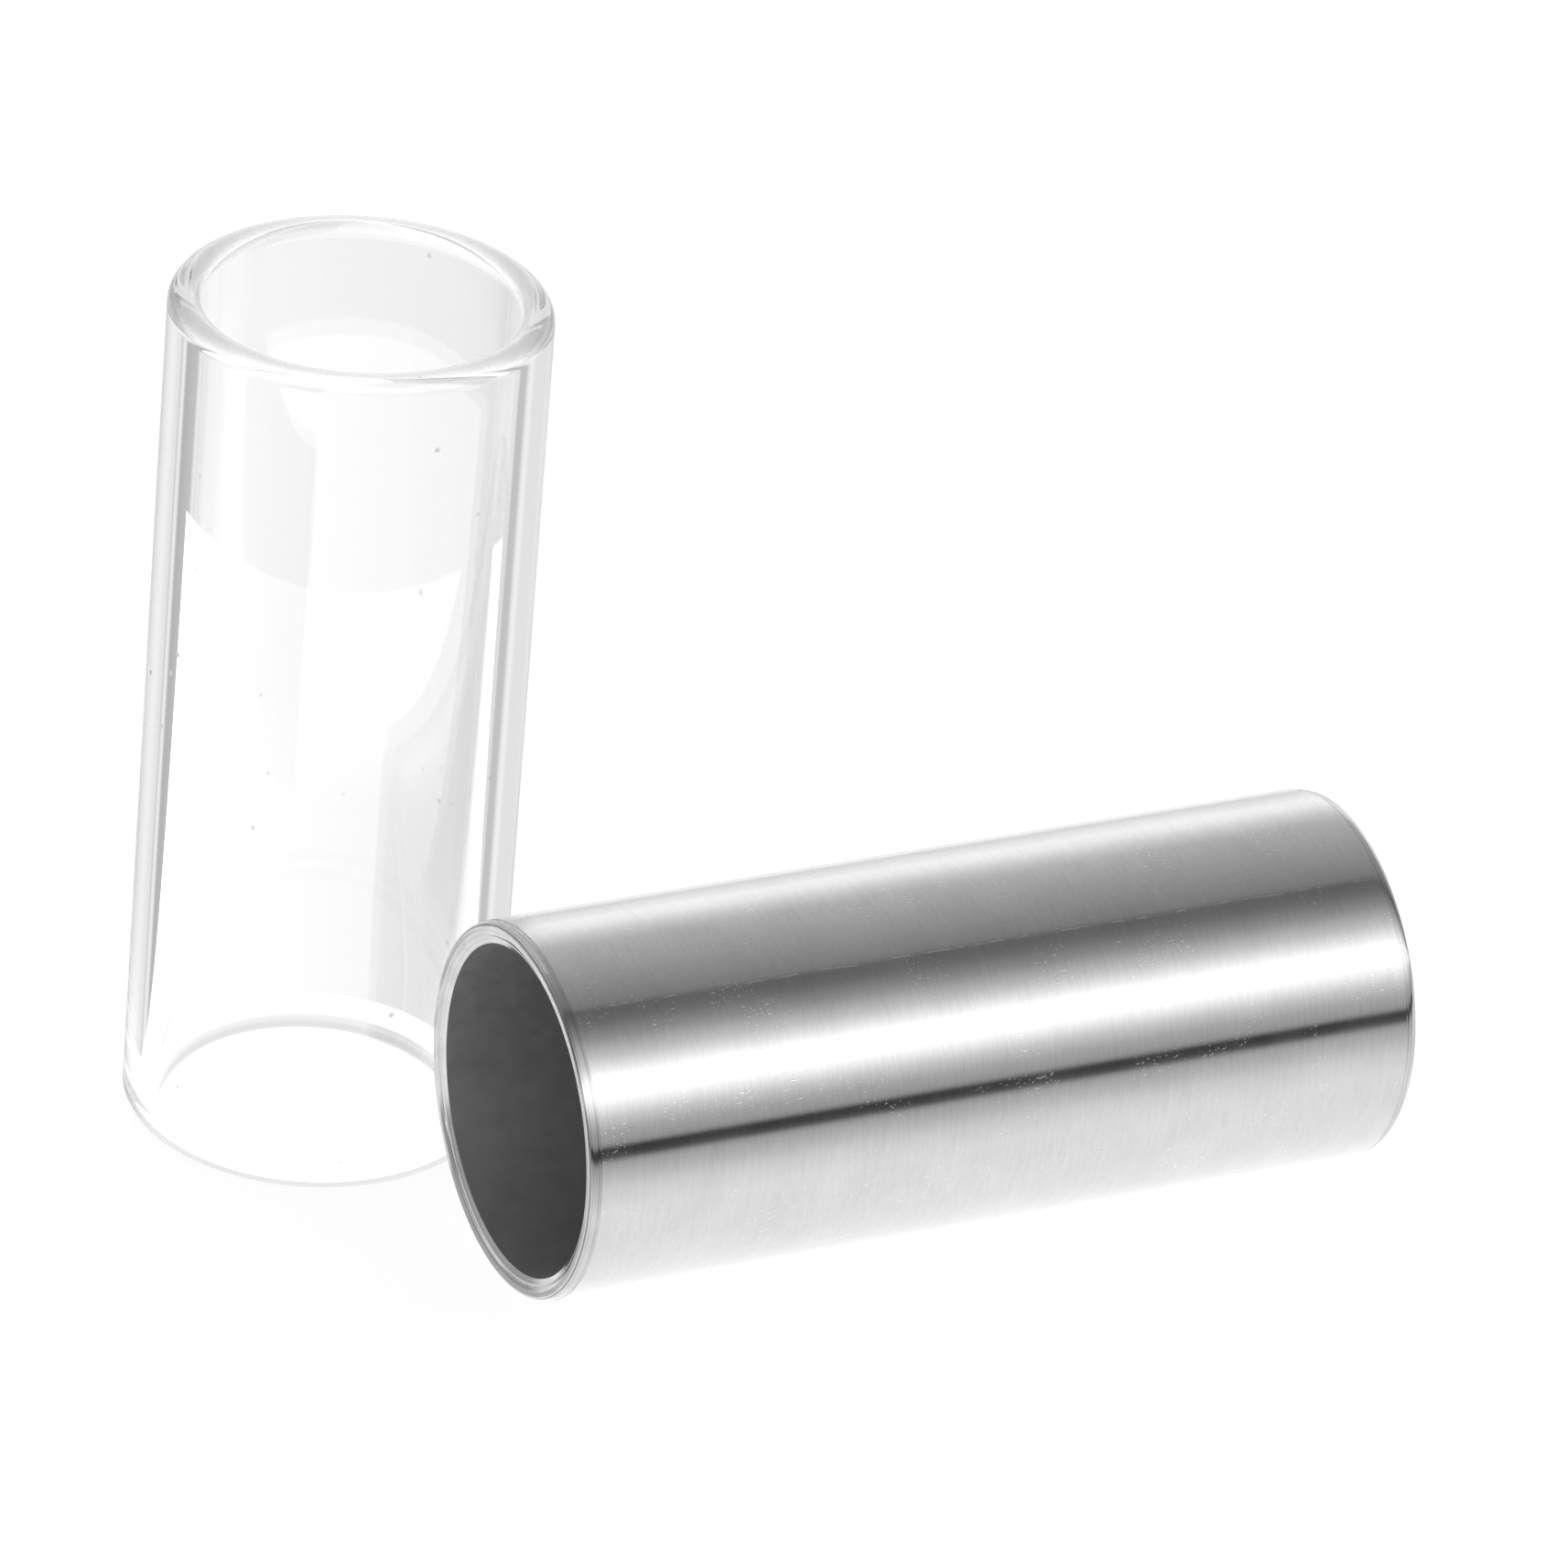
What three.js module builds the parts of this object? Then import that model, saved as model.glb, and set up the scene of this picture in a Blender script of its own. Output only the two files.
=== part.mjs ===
// A pair of guitar slides set down side by side: a clear glass tube standing on
// its end, and a thin stainless steel tube lying on its side next to it.
//
// Millimetres, +Z up. +X runs along the lying steel tube, from the end nearest
// the glass tube to its far end. The origin is under the middle of the pair, on
// the surface that both tubes rest on.

import * as THREE from 'three';

// Driving dimensions
const SLIDE_LENGTH = 60;

const GLASS_OUTSIDE = 25;        // outside diameter
const GLASS_WALL = 2.2;
const GLASS_LIP_FLAT = 0.2;      // width of the flat left on the crown of each fire-polished lip

const STEEL_OUTSIDE = 25;        // outside diameter
const STEEL_BORE = 22;
const STEEL_BEVEL_WIDTH = 0.8;   // the shallow bevel into the bore at each end, across the wall
const STEEL_BEVEL_DEPTH = 0.4;   // and along the tube
const STEEL_EDGE_DROP = 0.35;    // the turned outer edge of each end, across the wall
const STEEL_EDGE_DEPTH = 0.8;    // and along the tube

// Where the glass tube's axis stands, from the near end of the steel tube's axis
const GLASS_BEFORE_STEEL = 2.7;
const GLASS_BESIDE_STEEL = 24.9;

const SIDES = 72;                // facets round each tube
const ARC_STEPS = 4;             // facets across each rounded edge

const GLASS_RADIUS = GLASS_OUTSIDE / 2;
const STEEL_RADIUS = STEEL_OUTSIDE / 2;

// The pair's outer limits, from the near end of the steel tube's axis
const LOW_X = -GLASS_BEFORE_STEEL - GLASS_RADIUS;
const HIGH_X = SLIDE_LENGTH;
const LOW_Y = -STEEL_RADIUS;
const HIGH_Y = GLASS_BESIDE_STEEL + GLASS_RADIUS;

// Points on an elliptical edge of a section. The section's plane is (radius,
// height); the angles are in degrees, from the outward radius towards the top.
function arc(centreRadius, centreHeight, reachOut, reachUp, from, to) {
  const points = [];
  for (let i = 0; i <= ARC_STEPS; i++) {
    const angle = THREE.MathUtils.degToRad(from + (to - from) * i / ARC_STEPS);
    points.push(new THREE.Vector2(
      centreRadius + reachOut * Math.cos(angle),
      centreHeight + reachUp * Math.sin(angle)));
  }
  return points;
}

// Turns a closed section into a tube that stands on z = 0 about the Z axis. The
// tube's facets, not the corners between them, lie at the section's radii, so a
// tube on its side rests on a flat strip and its bore passes a full-size gauge.
function turnedTube(section) {
  const toCorner = 1 / Math.cos(Math.PI / SIDES);
  const profile = [...section, section[0]].map((p) => new THREE.Vector2(p.x * toCorner, p.y));
  const tube = new THREE.LatheGeometry(profile, SIDES);
  tube.rotateY(Math.PI / SIDES);
  tube.rotateX(Math.PI / 2);
  return tube;
}

// The glass wall, with a rounded lip at each end and a narrow flat on its crown
function glassSection() {
  const lip = (GLASS_WALL - GLASS_LIP_FLAT) / 2;
  const outer = GLASS_RADIUS - lip;
  const inner = GLASS_RADIUS - GLASS_WALL + lip;
  const top = SLIDE_LENGTH - lip;
  return [
    ...arc(outer, lip, lip, lip, -90, 0),
    ...arc(outer, top, lip, lip, 0, 90),
    ...arc(inner, top, lip, lip, 90, 180),
    ...arc(inner, lip, lip, lip, 180, 270),
  ];
}

// The thin steel wall. Each end has a turned round edge outside, a narrow flat
// land on the crown and a shallow bevel into the bore.
function steelSection() {
  const edge = STEEL_RADIUS - STEEL_EDGE_DROP;
  const top = SLIDE_LENGTH - STEEL_EDGE_DEPTH;
  const bore = STEEL_BORE / 2;
  const land = bore + STEEL_BEVEL_WIDTH;
  return [
    ...arc(edge, STEEL_EDGE_DEPTH, STEEL_EDGE_DROP, STEEL_EDGE_DEPTH, -90, 0),
    ...arc(edge, top, STEEL_EDGE_DROP, STEEL_EDGE_DEPTH, 0, 90),
    new THREE.Vector2(land, SLIDE_LENGTH),
    new THREE.Vector2(bore, SLIDE_LENGTH - STEEL_BEVEL_DEPTH),
    new THREE.Vector2(bore, STEEL_BEVEL_DEPTH),
    new THREE.Vector2(land, 0),
  ];
}

function glassSlide() {
  const glass = new THREE.MeshStandardMaterial({
    color: 0xe8eeee, roughness: 0.03, metalness: 0, transparent: true, opacity: 0.35,
  });
  const slide = new THREE.Mesh(turnedTube(glassSection()), glass);
  slide.name = 'glass_slide';
  slide.position.set(-GLASS_BEFORE_STEEL, GLASS_BESIDE_STEEL, 0);
  return slide;
}

function steelSlide() {
  const steel = new THREE.MeshStandardMaterial({ color: 0xb9b8b4, roughness: 0.28, metalness: 1 });
  const slide = new THREE.Mesh(turnedTube(steelSection()), steel);
  slide.name = 'steel_slide';
  slide.rotation.y = Math.PI / 2;
  slide.position.z = STEEL_RADIUS;
  return slide;
}

const pair = new THREE.Group();
pair.position.set(-(LOW_X + HIGH_X) / 2, -(LOW_Y + HIGH_Y) / 2, 0);
pair.add(glassSlide(), steelSlide());

export default pair;
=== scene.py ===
"""A pair of guitar slides: a clear glass tube standing on its end, and a thin
brushed stainless steel tube lying next to it."""
import math

import bpy
from mathutils import Matrix, Quaternion, Vector


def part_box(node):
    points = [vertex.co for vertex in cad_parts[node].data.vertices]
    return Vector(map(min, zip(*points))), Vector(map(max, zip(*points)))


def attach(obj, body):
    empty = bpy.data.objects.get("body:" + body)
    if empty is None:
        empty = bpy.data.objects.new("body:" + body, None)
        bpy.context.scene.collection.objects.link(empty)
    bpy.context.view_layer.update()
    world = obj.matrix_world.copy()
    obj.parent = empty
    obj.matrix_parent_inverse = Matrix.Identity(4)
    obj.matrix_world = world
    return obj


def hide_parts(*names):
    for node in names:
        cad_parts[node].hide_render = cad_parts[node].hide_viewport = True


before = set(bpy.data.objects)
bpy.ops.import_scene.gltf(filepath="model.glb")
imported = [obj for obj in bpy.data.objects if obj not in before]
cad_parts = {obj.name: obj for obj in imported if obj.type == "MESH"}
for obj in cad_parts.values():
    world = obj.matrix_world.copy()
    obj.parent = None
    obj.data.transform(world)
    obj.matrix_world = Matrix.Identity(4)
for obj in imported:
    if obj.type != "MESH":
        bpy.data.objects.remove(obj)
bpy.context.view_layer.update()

MM = 0.001
SEGMENTS = 288                   # round each tube

# Glass tube, mm
GLASS_WALL = 2.2
LIP_STEPS = 14                   # across each quarter of a fire-polished lip
WALL_STEPS = 16                  # along the straight wall, whose end rings stop just short of the lips
WALL_GAP = 0.1
LIP_REACH = 3.0                  # how far from the ends the lips' unevenness fades out
LIP_WAVE = 0.09                  # how far the lip wanders up and down
BORE_WAVE = 0.03                 # how far the bore wanders in and out

# Steel tube, mm
STEEL_BORE = 22.0
BEVEL_WIDTH, BEVEL_DEPTH = 0.8, 0.4
EDGE_DROP, EDGE_DEPTH = 0.35, 0.8
EDGE_STEP = 0.03                 # the turned edge starts this far below the brushed surface
EDGE_GROOVES, GROOVE_DEPTH = 6, 0.012
GROOVE_STEPS = 8                 # faces across one groove
LAND_SINK = 0.01                 # the flat end ring lies this far inside the CAD end
BEVEL_STEPS = 24
BEVEL_GROOVE_AT, BEVEL_GROOVE_WIDTH = 0.4, 0.07   # as shares of the bevel's width
BEVEL_GROOVE_DEPTH = 0.03
BRUSHED, TURNED, BORE = range(3)
CREASE_SHADE_RADIUS = 12.27 * MM  # painted shade: a dark line painted round the rounded edge, near where it meets the flat ring
DASH_LINE_ANGLE = math.radians(60)   # round the tube, from level in front to overhead

# Camera: the direction it stands in from the aim point, degrees and mm
CAMERA_AZIMUTH, CAMERA_ELEVATION, CAMERA_ROLL = -27.74, 28.61, 5.05
CAMERA_DISTANCE, CAMERA_LENS = 745.3, 259.1
CAMERA_AIM = Vector((2.86, 1.66, 25.13))


# ---------------------------------------------------------------- meshes

def turned_mesh(name, section, shape=None):
    """A closed tube turned about Z. The section is a closed list of (radius, height, finish, sharp) in mm;
    finish belongs to the face that starts at the point, and sharp to the ring through it.
    shape(radius, height, angle) may move a point."""
    points, faces, finishes = [], [], []
    rings = len(section)
    for radius, height, _, _ in section:
        for k in range(SEGMENTS):
            angle = 2 * math.pi * k / SEGMENTS
            r, h = shape(radius, height, angle) if shape else (radius, height)
            points.append((r * math.cos(angle) * MM, r * math.sin(angle) * MM, h * MM))
    for i in range(rings):
        j = (i + 1) % rings
        for k in range(SEGMENTS):
            m = (k + 1) % SEGMENTS
            faces.append((i * SEGMENTS + k, i * SEGMENTS + m, j * SEGMENTS + m, j * SEGMENTS + k))
            finishes.append(section[i][2])
    mesh = bpy.data.meshes.new(name)
    mesh.from_pydata(points, [], faces)
    mesh.polygons.foreach_set("material_index", finishes)
    mesh.polygons.foreach_set("use_smooth", [True] * len(faces))
    sharp = {i for i, point in enumerate(section) if point[3]}
    for edge in mesh.edges:
        a, b = edge.vertices
        if a // SEGMENTS == b // SEGMENTS and a // SEGMENTS in sharp:
            edge.use_edge_sharp = True
    mesh.update()
    return mesh


def piece(name, mesh, centre, body, node):
    obj = bpy.data.objects.new(name, mesh)
    bpy.context.scene.collection.objects.link(obj)
    obj.location = centre
    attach(obj, body)
    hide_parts(node)
    return obj


def middle_and_size(node):
    low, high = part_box(node)
    return (low + high) / 2, high - low


# ---------------------------------------------------------------- glass tube

def glass_section(outer, length):
    """The glass wall in mm, with fully rounded lips."""
    lip = GLASS_WALL / 2
    crown = outer - lip
    top = length / 2 - lip
    wall = [(top - WALL_GAP) * (1 - 2 * i / WALL_STEPS) for i in range(WALL_STEPS + 1)]
    points = []
    for end, start, radius, heights in ((top, 0, outer - GLASS_WALL, wall), (-top, 180, outer, wall[::-1])):
        for i in range(2 * LIP_STEPS + 1):
            angle = math.radians(start + 180 * i / (2 * LIP_STEPS))
            points.append((crown + lip * math.cos(angle), end + lip * math.sin(angle), 0, False))
        points += [(radius, height, 0, False) for height in heights]
    return points


def glass_shape(outer, length):
    """Fire polishing leaves the lips and the bore slightly uneven."""
    def wave(angle, phase):
        return (math.sin(2 * angle + phase) + 0.7 * math.sin(3 * angle + 2.1 * phase)
                + 0.2 * math.sin(5 * angle + phase * phase)) / 1.9

    def shape(radius, height, angle):
        lip = max(0.0, 1 - (length / 2 - abs(height)) / LIP_REACH)
        inner = min(1.0, (outer - radius) / GLASS_WALL)
        drop = LIP_WAVE * lip * (1 + wave(angle, 1.3 if height > 0 else 2.9)) / 2
        radius += BORE_WAVE * inner * (0.3 + 0.7 * lip) * wave(angle, 0.6 + 0.02 * height)
        return radius, height - math.copysign(drop, height)

    return shape


def glass_tube():
    centre, size = middle_and_size("glass_slide")
    outer, length = size.x / 2 / MM, size.z / MM
    mesh = turned_mesh("glass_tube", glass_section(outer, length), glass_shape(outer, length))
    mesh.materials.append(clear_glass())
    return piece("glass_tube", mesh, centre, "glass_slide", "glass_slide")


# ---------------------------------------------------------------- steel tube

def steel_end(outer, length):
    """One end of the steel wall, from the brushed outside to the bore, in mm."""
    top = length / 2
    points = [(outer, top - EDGE_DEPTH, TURNED, True)]
    steps = GROOVE_STEPS * EDGE_GROOVES
    for i in range(steps + 1):
        t = i / steps
        angle = math.radians(90 * t)
        groove = (1 - math.cos(2 * math.pi * EDGE_GROOVES * t)) / 2
        groove *= 0.55 + 0.45 * math.sin(1 + 5 * math.floor(EDGE_GROOVES * t))
        sink = EDGE_STEP * (1 - t) + GROOVE_DEPTH * groove
        points.append((outer - EDGE_DROP + (EDGE_DROP - sink) * math.cos(angle),
                       top - EDGE_DEPTH + (EDGE_DEPTH - sink) * math.sin(angle), TURNED, i in (0, steps)))
    land = STEEL_BORE / 2 + BEVEL_WIDTH
    points.append((land, top - LAND_SINK, TURNED, True))
    for i in range(1, BEVEL_STEPS + 1):
        t = i / BEVEL_STEPS
        groove = BEVEL_GROOVE_DEPTH * math.exp(-((t - BEVEL_GROOVE_AT) / BEVEL_GROOVE_WIDTH) ** 2)
        points.append((land - BEVEL_WIDTH * t, top - LAND_SINK - (BEVEL_DEPTH - LAND_SINK) * t - groove,
                       TURNED if i < BEVEL_STEPS else BORE, i == BEVEL_STEPS))
    return points


def steel_section(outer, length):
    """The whole steel wall in mm: the far end, the bore, the near end and the outside."""
    far = steel_end(outer, length)
    near = [(r, -h, TURNED, sharp) for r, h, _, sharp in reversed(far)]
    near[-1] = (*near[-1][:2], BRUSHED, True)
    return far + near


def steel_tube():
    centre, size = middle_and_size("steel_slide")
    mesh = turned_mesh("steel_tube", steel_section(size.z / 2 / MM, size.x / MM))
    mesh.transform(Matrix.Rotation(math.pi / 2, 4, "Y"))
    for material in (brushed_steel(), turned_steel(), steel_bore()):
        mesh.materials.append(material)
    return piece("steel_tube", mesh, centre, "steel_slide", "steel_slide")


# ---------------------------------------------------------------- node helpers

class Nodes:
    """Short calls for building a node tree."""

    def __init__(self, tree):
        self.tree = tree
        tree.nodes.clear()

    def put(self, socket, value):
        if isinstance(value, bpy.types.NodeSocket):
            self.tree.links.new(value, socket)
        elif value is not None:
            socket.default_value = value

    def add(self, kind, settings=None, **inputs):
        node = self.tree.nodes.new(kind)
        for key, value in (settings or {}).items():
            setattr(node, key, value)
        for key, value in inputs.items():
            self.put(node.inputs[key.replace("_", " ")], value)
        return node

    def math(self, operation, a, b=None, c=None):
        node = self.tree.nodes.new("ShaderNodeMath")
        node.operation = operation
        for socket, value in zip(node.inputs, (a, b, c)):
            self.put(socket, value)
        return node.outputs[0]

    def scaled(self, vector, x, y, z):
        node = self.tree.nodes.new("ShaderNodeVectorMath")
        node.operation = "MULTIPLY"
        self.put(node.inputs[0], vector)
        node.inputs[1].default_value = (x, y, z)
        return node.outputs[0]

    def noise(self, vector, detail=2.0, roughness=0.5, scale=1.0):
        return self.add("ShaderNodeTexNoise", Vector=vector, Scale=scale, Detail=detail,
                        Roughness=roughness).outputs[0]

    def between(self, value, low, high, to_low=0.0, to_high=1.0):
        """value from low..high to to_low..to_high, held at the ends."""
        node = self.tree.nodes.new("ShaderNodeMapRange")
        for socket, v in zip(node.inputs, (value, low, high, to_low, to_high)):
            self.put(socket, v)
        return node.outputs[0]

    def ramp(self, value, stops):
        node = self.tree.nodes.new("ShaderNodeValToRGB")
        self.put(node.inputs[0], value)
        elements = node.color_ramp.elements
        while len(elements) < len(stops):
            elements.new(0.5)
        for element, (position, level) in zip(elements, sorted(stops)):
            element.position = position
            element.color = (level, level, level, 1)
        return node.outputs[0]

    def mix(self, factor, a, b):
        node = self.add("ShaderNodeMix", {"data_type": "FLOAT"})
        for socket, value in zip((node.inputs[0], node.inputs[2], node.inputs[3]), (factor, a, b)):
            self.put(socket, value)
        return node.outputs[0]

    def bump(self, height, strength, distance, normal=None):
        node = self.add("ShaderNodeBump", Height=height, Strength=strength, Distance=distance)
        self.put(node.inputs["Normal"], normal)
        return node.outputs[0]


def new_material(name):
    material = bpy.data.materials.new(name)
    material.use_nodes = True
    nodes = Nodes(material.node_tree)
    output = nodes.add("ShaderNodeOutputMaterial")
    shader = nodes.add("ShaderNodeBsdfPrincipled")
    nodes.put(output.inputs["Surface"], shader.outputs[0])
    place = nodes.add("ShaderNodeTexCoord").outputs["Object"]
    return material, nodes, shader, place


# ---------------------------------------------------------------- materials

def clear_glass():
    """Clear glass with dust specks, and faint smears and ripples that stop at the lips."""
    material, nodes, shader, place = new_material("clear_glass")
    height = nodes.math("ABSOLUTE", nodes.add("ShaderNodeSeparateXYZ", Vector=place).outputs["Z"])
    wall = nodes.between(height, 26.5 * MM, 28.5 * MM, 1.0, 0.0)
    smear = nodes.between(nodes.noise(nodes.scaled(place, 90, 90, 30), detail=3), 0.45, 0.75, 0.0, 0.03)
    smear = nodes.math("MULTIPLY", smear, wall)
    specks = nodes.add("ShaderNodeTexVoronoi", Vector=place, Scale=190.0).outputs["Distance"]
    dust = nodes.between(specks, 0.025, 0.045, 1.0, 0.0)
    nodes.put(shader.inputs["Roughness"], nodes.math("MAXIMUM", smear, nodes.math("MULTIPLY", dust, 0.5)))
    nodes.put(shader.inputs["Base Color"], nodes.between(dust, 0.0, 1.0, 1.0, 0.7))
    shader.inputs["Transmission Weight"].default_value = 1.0
    shader.inputs["IOR"].default_value = 1.5
    ripple = nodes.math("MULTIPLY", nodes.noise(nodes.scaled(place, 120, 120, 25), detail=1), wall)
    nodes.put(shader.inputs["Normal"], nodes.bump(ripple, 0.3, 0.03 * MM))
    return material


def hoop_tangent(nodes):
    return nodes.add("ShaderNodeTangent", {"direction_type": "RADIAL", "axis": "X"}).outputs[0]


def scratches(nodes, place, lean):
    """Short sparse handling scratches, each leaning off the tube's length; 1 in a scratch, else 0."""
    node = nodes.add("ShaderNodeVectorRotate", {"rotation_type": "AXIS_ANGLE"}, Vector=place, Angle=lean)
    node.inputs["Axis"].default_value = (0, 0.7, 0.7)
    streak = nodes.noise(nodes.scaled(node.outputs[0], 260, 8000, 8000), detail=0)
    patch = nodes.noise(nodes.scaled(place, 260, 260, 260), detail=1)
    return nodes.math("MULTIPLY", nodes.between(streak, 0.76, 0.80), nodes.between(patch, 0.5, 0.6))


def dash_line(nodes, place):
    """A line of fine dashes along the top of the tube, at a fixed angle round it; 1 in a dash, else 0."""
    x, y, z = nodes.add("ShaderNodeSeparateXYZ", Vector=place).outputs
    angle = nodes.math("ARCTAN2", z, nodes.math("MULTIPLY", y, -1.0))
    wander = nodes.between(nodes.noise(nodes.scaled(place, 130, 0, 0), detail=3), 0.3, 0.7, -0.012, 0.012)
    off = nodes.math("ABSOLUTE", nodes.math("SUBTRACT", nodes.math("ADD", angle, wander), DASH_LINE_ANGLE))
    dash = nodes.between(nodes.noise(nodes.scaled(place, 1100, 1500, 1500), detail=1), 0.5, 0.6)
    return nodes.math("MULTIPLY", nodes.between(off, 0.002, 0.005, 1.0, 0.0), dash)


def brushed_steel():
    """Fine brushing round the tube, with handling scratches and a line of fine dashes along the top."""
    material, nodes, shader, place = new_material("brushed_steel")
    fine = nodes.noise(nodes.scaled(place, 9000, 700, 700), detail=2, roughness=0.6)
    broad = nodes.noise(nodes.scaled(place, 2500, 260, 260), detail=2, roughness=0.6)
    cloud = nodes.noise(nodes.scaled(place, 220, 220, 220), detail=6, roughness=0.65)
    tone = nodes.math("ADD", nodes.between(fine, 0.3, 0.7, -0.02, 0.02),
                      nodes.between(broad, 0.3, 0.7, -0.012, 0.012))
    tone = nodes.math("ADD", tone, nodes.between(cloud, 0.3, 0.7, 0.592, 0.642))
    scratch = nodes.math("MAXIMUM", scratches(nodes, place, 0.4), scratches(nodes, place, -0.9))
    # the line of dashes is lighter in base colour and sunk in the bump, like the scratches
    scratch = nodes.math("MAXIMUM", scratch, dash_line(nodes, place))
    nodes.put(shader.inputs["Base Color"], nodes.math("ADD", tone, nodes.math("MULTIPLY", scratch, 0.12)))
    nodes.put(shader.inputs["Roughness"], nodes.between(cloud, 0.3, 0.7, 0.12, 0.17))
    height = nodes.math("ADD", fine, nodes.math("MULTIPLY", broad, 1.5))
    height = nodes.math("SUBTRACT", height, nodes.math("MULTIPLY", scratch, 4.0))
    nodes.put(shader.inputs["Normal"], nodes.bump(height, 0.4, 0.002 * MM))
    shader.inputs["Metallic"].default_value = 1.0
    shader.inputs["Anisotropic"].default_value = 0.95
    shader.inputs["Anisotropic Rotation"].default_value = 0.25
    nodes.put(shader.inputs["Tangent"], hoop_tangent(nodes))
    return material


def turned_steel():
    """Ends faced on a lathe: fine circular marks, and painted shade, a darker line painted where the rounding
    meets the face.
    """
    material, nodes, shader, place = new_material("turned_steel")
    x, y, z = nodes.add("ShaderNodeSeparateXYZ", Vector=place).outputs
    radius = nodes.math("SQRT", nodes.math("ADD", nodes.math("MULTIPLY", y, y), nodes.math("MULTIPLY", z, z)))
    across = nodes.add("ShaderNodeCombineXYZ", X=x, Y=radius).outputs[0]
    marks = nodes.noise(nodes.scaled(across, 7000, 7000, 0), detail=3)
    worn = nodes.noise(nodes.scaled(place, 400, 400, 400), detail=3)
    tone = nodes.math("ADD", nodes.between(marks, 0.3, 0.7, 0.40, 0.64),
                      nodes.between(worn, 0.3, 0.7, -0.05, 0.05))
    # painted shade: the base colour is darkened in a thin line round the crease of the turned edge
    off_crease_shade = nodes.math("ABSOLUTE", nodes.math("SUBTRACT", radius, CREASE_SHADE_RADIUS))
    tone = nodes.math("MULTIPLY", tone, nodes.between(off_crease_shade, 0.03 * MM, 0.06 * MM, 0.45, 1.0))
    nodes.put(shader.inputs["Base Color"], tone)
    nodes.put(shader.inputs["Roughness"], nodes.between(marks, 0.3, 0.7, 0.06, 0.14))
    nodes.put(shader.inputs["Normal"], nodes.bump(marks, 0.5, 0.006 * MM))
    shader.inputs["Metallic"].default_value = 1.0
    return material


def steel_bore():
    """The dull inside; its dark base colour is painted shade in the bore."""
    material, nodes, shader, place = new_material("steel_bore")
    fine = nodes.noise(nodes.scaled(place, 900, 900, 900), detail=3)
    # painted shade: the bore's base colour is dark, as shade in the hollow
    nodes.put(shader.inputs["Base Color"], nodes.between(fine, 0.3, 0.7, 0.27, 0.31))
    nodes.put(shader.inputs["Roughness"], nodes.between(fine, 0.3, 0.7, 0.6, 0.7))
    shader.inputs["Metallic"].default_value = 0.6
    return material


# ---------------------------------------------------------------- studio

# Light level that the steel tube mirrors, by the angle in degrees about the X axis: level in front 0,
# overhead 90, behind 180. The front softbox is at 34 to 42, and the dark room shows in the gap under it,
# beyond the table's edge.
STUDIO = (
    (-180, 1.05), (-170, 0.86), (-160, 1.20), (-140, 1.40), (-100, 1.26), (-60, 1.17), (-38, 1.14),
    (-25, 0.98), (-17, 0.75), (-9, 0.57), (-7, 0.48), (-4.5, 0.09), (1.5, 0.04), (3.5, 0.46), (12, 0.60),
    (20, 0.92), (28, 1.50), (34, 1.9), (42, 1.9), (49, 1.32), (56, 0.86), (68, 0.41), (78, 0.22),
    (86.5, 0.16), (88, 0.29), (120, 0.53), (138, 0.67), (149, 0.97), (158, 1.30), (168, 1.40), (174, 1.15),
)

# Light level that shows through the glass tube's walls, low in the studio, by azimuth in degrees about the Z
# axis: white behind the pair, narrow grey flags on both sides of that, and a duller room in front. A color
# ramp holds 32 stops, so this is the most there can be.
LOW_ROUND_GLASS = (
    (-180, 0.66), (-100, 0.66), (-80, 0.66), (-22, 0.62), (-8, 0.70), (12, 0.74), (14, 0.42), (21, 0.42),
    (24, 0.67), (28, 0.85), (32, 0.85), (35, 0.78), (41, 0.78), (50, 0.77), (55, 0.78), (58, 0.83),
    (64, 0.90), (70, 0.96), (75, 1.01), (80, 1.02), (86, 0.93), (92, 0.79), (96, 0.77), (97, 0.59), (99, 0.59),
    (100, 0.85), (103, 0.85), (105, 0.40), (119, 0.40), (121, 0.70), (130, 0.66), (180, 0.66),
)
HIGH_ROUND_GLASS = 0.80

# Bounce card on the table, measured from the glass tube's axis
CARD_SEGMENTS = 96               # round the card, and round its foot
CARD_REACH = 95 * MM
CARD_POINT = 7.8 * MM            # where its straight edges meet, on the camera's side
CARD_EDGES = (123, 361)          # azimuths at which they reach the rim, degrees
CARD_FOOT = 16 * MM              # a round part under the tube
CARD_DROP = 0.05 * MM            # below the table's surface, and the foot a little higher than the rest
CARD_FOOT_RISE = 0.01 * MM
CARD_LEVELS = (1.20, 2.1)        # close to the tube, and further out
CARD_BLEND = (22 * MM, 34 * MM)  # distances between which the level rises
CONTACT_SHADOW_RING = 11.4 * MM         # middle of the painted contact shadow, a ring under the glass wall
CONTACT_SHADOW_EDGE = (0.8 * MM, 1.3 * MM)   # distances from the middle at which the painted shadow starts to fade, and ends
CONTACT_SHADOW_LEVEL = 0.6              # factor in the painted shadow

# Dimmer patches in what the outsides mirror: azimuths in degrees, range of the direction's z, light level.
# Their edges are soft by this much to each side.
PATCH_BLUR_DEGREES, PATCH_BLUR_Z = 3, 0.03
DIM_PATCHES = (
    ((12, 128), (-0.52, -0.38), 0.62),    # floor behind the pair
    ((108, 176), (-0.21, 0.12), 0.55),    # wall behind on the left
)


def seen_through_glass(nodes):
    """1 for light that reaches the eye through glass, else 0."""
    return nodes.math("GREATER_THAN", nodes.add("ShaderNodeLightPath").outputs["Transmission Depth"], 0.5)


def round_turn(nodes, across, along, stops):
    """A light level that depends on an angle, from stops of (degrees, level)."""
    turn = nodes.between(nodes.math("ARCTAN2", across, along), -math.pi, math.pi)
    return nodes.ramp(turn, [((angle + 180) / 360, light) for angle, light in stops])


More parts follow.
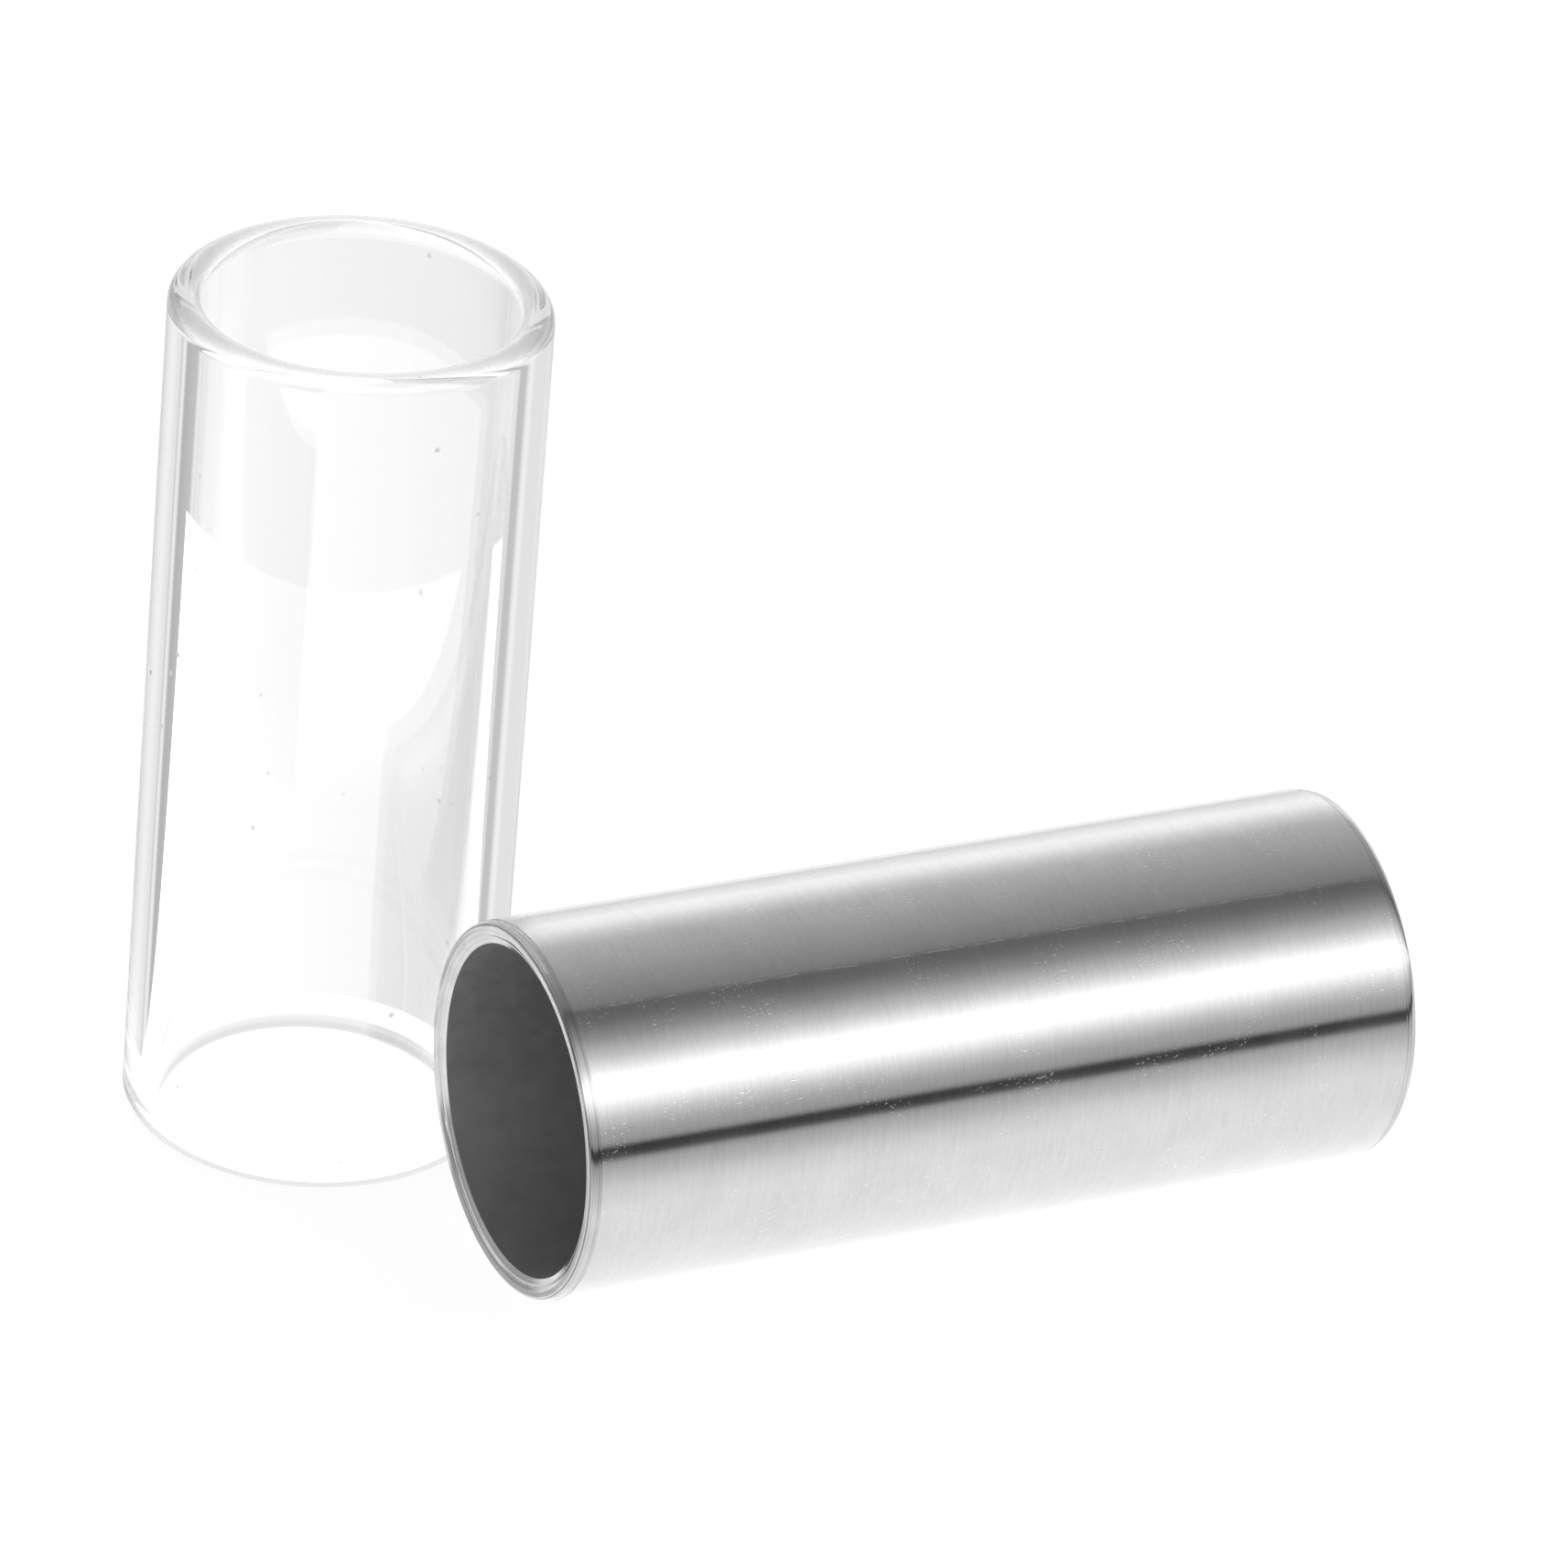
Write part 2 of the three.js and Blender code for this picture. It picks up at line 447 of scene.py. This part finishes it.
def patch(nodes, azimuth, z, sides, levels):
    """1 for directions inside a patch of the studio, else 0: azimuth in degrees, z of the unit direction."""
    def span(value, low, high, blur):
        return nodes.math("MULTIPLY", nodes.between(value, low - blur, low + blur),
                          nodes.between(value, high - blur, high + blur, 1.0, 0.0))

    across = span(azimuth, *(math.radians(side) for side in sides), math.radians(PATCH_BLUR_DEGREES))
    along = span(z, *levels, PATCH_BLUR_Z)
    return nodes.math("MULTIPLY", across, along)


def studio_world():
    world = bpy.data.worlds.new("studio")
    bpy.context.scene.world = world
    world.use_nodes = True
    nodes = Nodes(world.node_tree)
    direction = nodes.add("ShaderNodeTexCoord").outputs["Generated"]
    x, y, z = nodes.add("ShaderNodeSeparateXYZ", Vector=direction).outputs
    mirrored = round_turn(nodes, z, nodes.math("MULTIPLY", y, -1.0), STUDIO)
    azimuth = nodes.math("ARCTAN2", y, x)
    for sides, levels, light in DIM_PATCHES:
        mirrored = nodes.mix(patch(nodes, azimuth, z, sides, levels), mirrored, light)
    low = round_turn(nodes, y, x, LOW_ROUND_GLASS)
    through = nodes.mix(nodes.between(z, -0.2, 0.1), low, HIGH_ROUND_GLASS)
    level = nodes.mix(seen_through_glass(nodes), mirrored, through)
    level = nodes.mix(nodes.add("ShaderNodeLightPath").outputs["Is Camera Ray"], level, 1.0)
    background = nodes.add("ShaderNodeBackground", Color=(1, 1, 1, 1), Strength=level)
    output = nodes.add("ShaderNodeOutputWorld")
    nodes.put(output.inputs["Surface"], background.outputs[0])


def circle(radius):
    angles = [2 * math.pi * k / CARD_SEGMENTS for k in range(CARD_SEGMENTS)]
    return [(radius * math.cos(angle), radius * math.sin(angle)) for angle in angles]


def card_material():
    """It gives light only to what is seen through glass, and is clear for the rest. A contact shadow is
    painted into it: the ring under the glass wall gives less light."""
    material = bpy.data.materials.new("bounce_card")
    material.use_nodes = True
    nodes = Nodes(material.node_tree)
    place = nodes.add("ShaderNodeTexCoord").outputs["Object"]
    away = nodes.add("ShaderNodeVectorMath", {"operation": "LENGTH"}, Vector=place).outputs["Value"]
    light = nodes.between(away, *CARD_BLEND, *CARD_LEVELS)
    # painted contact shadow: the card's light is dimmed in a ring under the glass wall
    off_shadow_ring = nodes.math("ABSOLUTE", nodes.math("SUBTRACT", away, CONTACT_SHADOW_RING))
    light = nodes.math("MULTIPLY", light, nodes.between(off_shadow_ring, *CONTACT_SHADOW_EDGE, CONTACT_SHADOW_LEVEL, 1.0))
    white = nodes.add("ShaderNodeEmission", Color=(1, 1, 1, 1), Strength=light)
    clear = nodes.add("ShaderNodeBsdfTransparent")
    either = nodes.add("ShaderNodeMixShader", Fac=seen_through_glass(nodes))
    nodes.put(either.inputs[1], clear.outputs[0])
    nodes.put(either.inputs[2], white.outputs[0])
    output = nodes.add("ShaderNodeOutputMaterial")
    nodes.put(output.inputs["Surface"], either.outputs[0])
    return material


def bounce_card():
    """A white card on the table in front of the glass tube, which only its walls pick up. Two straight edges
    run back from a point under the tube, just clear of the light that its walls guide from behind."""
    front = math.radians(CAMERA_AZIMUTH - 90)
    first, last = (math.radians(edge) for edge in CARD_EDGES)
    points = [(CARD_POINT * math.cos(front), CARD_POINT * math.sin(front), 0)]
    for k in range(CARD_SEGMENTS + 1):
        angle = first + (last - first) * k / CARD_SEGMENTS
        points.append((CARD_REACH * math.cos(angle), CARD_REACH * math.sin(angle), 0))
    faces = [(0, k, k + 1) for k in range(1, CARD_SEGMENTS + 1)]
    faces.append(tuple(range(len(points), len(points) + CARD_SEGMENTS)))
    points += [(x, y, CARD_FOOT_RISE) for x, y in circle(CARD_FOOT)]
    mesh = bpy.data.meshes.new("bounce_card")
    mesh.from_pydata(points, [], faces)
    mesh.materials.append(card_material())
    card = bpy.data.objects.new("bounce_card", mesh)
    centre = middle_and_size("glass_slide")[0]
    card.location = (centre.x, centre.y, -CARD_DROP)
    bpy.context.scene.collection.objects.link(card)
    card.visible_camera = card.visible_diffuse = card.visible_shadow = False


def pale_floor():
    """A table that shows almost white and takes a faint shadow. Mirrored and refracted light sees the studio
    instead of it."""
    reach = 2.5
    mesh = bpy.data.meshes.new("floor")
    mesh.from_pydata([(-reach, -reach, 0), (reach, -reach, 0), (reach, reach, 0), (-reach, reach, 0)], [],
                     [(0, 1, 2, 3)])
    floor = bpy.data.objects.new("floor", mesh)
    bpy.context.scene.collection.objects.link(floor)
    material, _, shader, _ = new_material("pale_floor")
    shader.inputs["Base Color"].default_value = (0.12, 0.12, 0.12, 1)
    shader.inputs["Roughness"].default_value = 1.0
    shader.inputs["Specular IOR Level"].default_value = 0.0
    shader.inputs["Emission Color"].default_value = (1, 1, 1, 1)
    shader.inputs["Emission Strength"].default_value = 0.93
    mesh.materials.append(material)
    floor.visible_glossy = False
    floor.visible_transmission = False


def camera():
    azimuth, elevation = math.radians(CAMERA_AZIMUTH), math.radians(CAMERA_ELEVATION)
    back = Vector((math.sin(azimuth) * math.cos(elevation), -math.cos(azimuth) * math.cos(elevation),
                   math.sin(elevation)))
    data = bpy.data.cameras.new("camera")
    data.sensor_width = 36.0
    data.lens = CAMERA_LENS
    data.clip_start, data.clip_end = 0.01, 20.0
    obj = bpy.data.objects.new("camera", data)
    bpy.context.scene.collection.objects.link(obj)
    obj.location = (CAMERA_AIM + back * CAMERA_DISTANCE) * MM
    obj.rotation_mode = "QUATERNION"
    roll = Quaternion((0, 0, 1), math.radians(CAMERA_ROLL))
    obj.rotation_quaternion = (-back).to_track_quat("-Z", "Y") @ roll
    bpy.context.scene.camera = obj


glass_tube()
steel_tube()
pale_floor()
bounce_card()
studio_world()
camera()
bpy.context.scene.view_settings.view_transform = "Standard"
cycles = bpy.context.scene.cycles    # the glass wall guides light over many bounces
cycles.max_bounces = 64
cycles.glossy_bounces = cycles.transmission_bounces = 48
